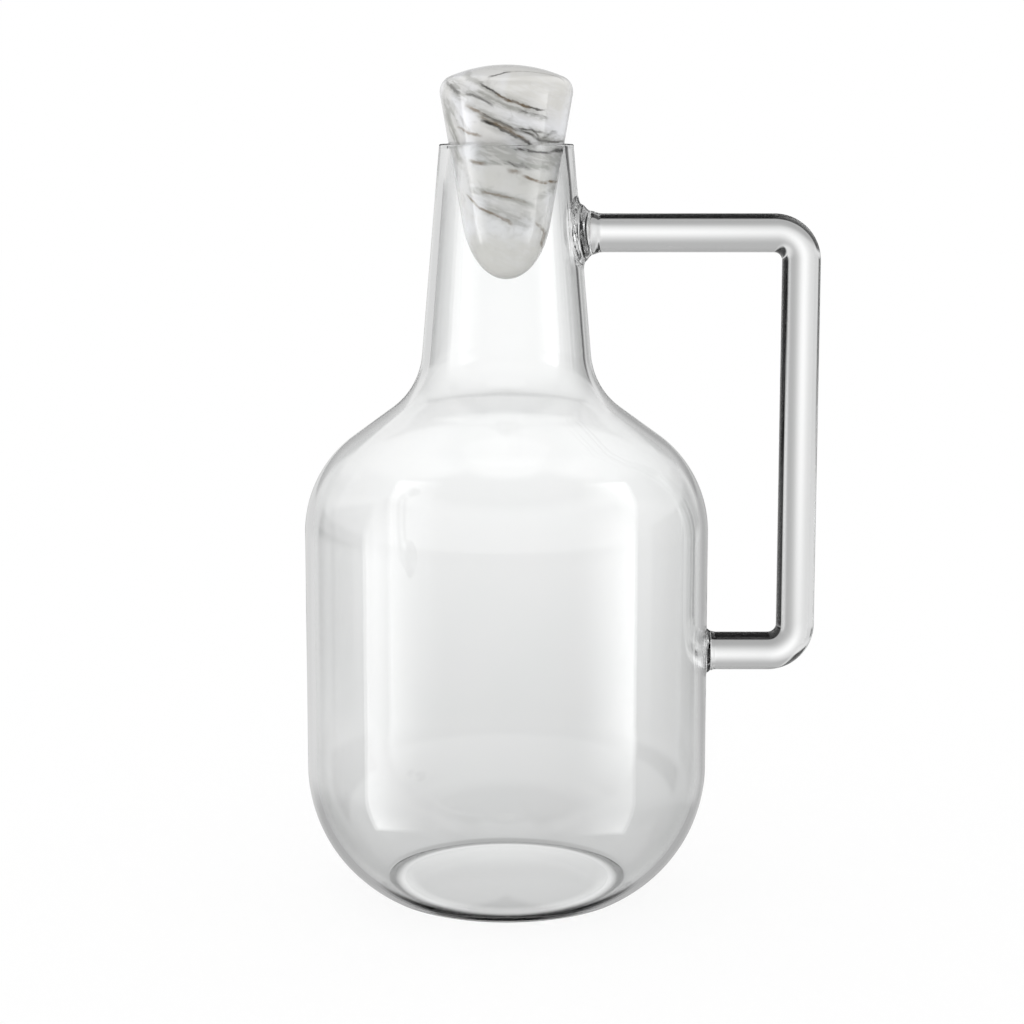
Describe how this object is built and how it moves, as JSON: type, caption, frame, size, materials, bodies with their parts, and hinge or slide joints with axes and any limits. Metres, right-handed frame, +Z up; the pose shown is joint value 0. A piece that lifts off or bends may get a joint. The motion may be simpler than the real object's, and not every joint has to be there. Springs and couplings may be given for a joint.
{
  "type": "carafe",
  "caption": "Clear glass carafe with a round heel, conical shoulder and tapered neck, a squared rod handle welded to neck and wall, and a loose marble stopper; for serving water or wine.",
  "frame": {"origin": "on the table plane, in the middle of the rectangle that the carafe and its handle cover", "axes": "+Z up along the vessel's axis, +X from the vessel towards the handle, Y across the handle"},
  "size_m": [0.1396, 0.11, 0.2259],
  "materials": {
    "clear_glass": "clear, fire-polished",
    "marble": "white with grey veins, polished"
  },
  "bodies": {
    "carafe": {"vessel": "clear_glass", "handle_rod": "clear_glass", "upper_weld": "clear_glass", "lower_weld": "clear_glass"},
    "stopper": {"stopper": "marble"}
  },
  "joints": [
    {"name": "stopper_lift", "type": "slide", "parent": "carafe", "child": "stopper", "axis": [0, 0, 1], "range_m": [0, 0.08]}
  ]
}
